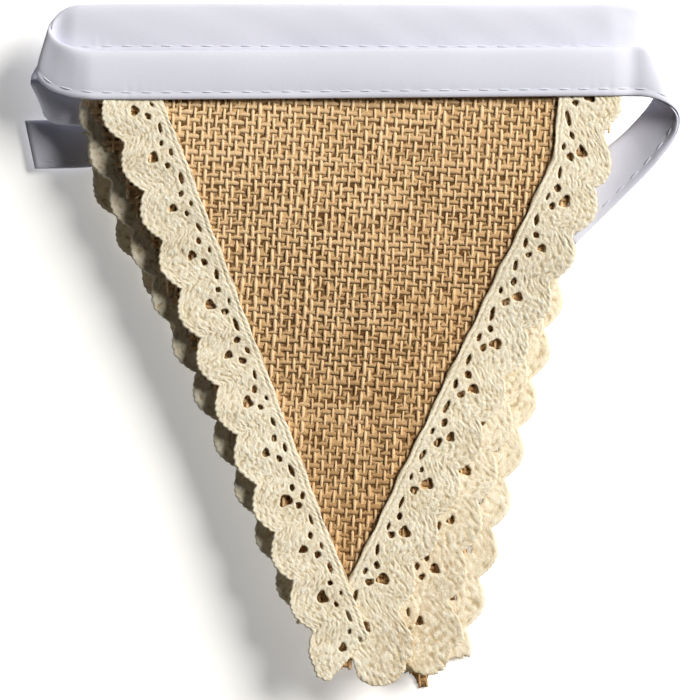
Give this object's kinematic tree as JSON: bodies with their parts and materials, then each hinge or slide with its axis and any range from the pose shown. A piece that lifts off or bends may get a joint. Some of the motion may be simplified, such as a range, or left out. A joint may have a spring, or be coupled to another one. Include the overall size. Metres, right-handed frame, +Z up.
{
  "type": "folded hessian and lace pennant bunting",
  "caption": "Fabric bunting folded up flat: hessian triangle pennants edged with scalloped cotton lace, sewn into a white tape that runs back and forth through the fanned stack.",
  "frame": {"origin": "middle of the folded stack's footprint, on the floor it lies on", "axes": "+Z up out of the flat stack, +Y from the pennants' tips towards the tape, +X along the tape to the right with the top pennant's lace facing up"},
  "size_m": [0.2004, 0.218, 0.0263],
  "materials": {
    "tape": "white woven binding tape, folded and machine stitched",
    "hessian": "natural jute hessian, open plain weave, cut edges frayed",
    "lace": "cream cotton lace with eyelets and a scalloped edge"
  },
  "bodies": {
    "root": {"tape": "tape", "hessian_1": "hessian", "lace_left_1": "lace", "lace_right_1": "lace", "hessian_2": "hessian", "lace_left_2": "lace", "lace_right_2": "lace", "hessian_3": "hessian", "lace_left_3": "lace", "lace_right_3": "lace", "hessian_4": "hessian", "lace_left_4": "lace", "lace_right_4": "lace", "hessian_5": "hessian", "lace_left_5": "lace", "lace_right_5": "lace"}
  },
  "joints": []
}
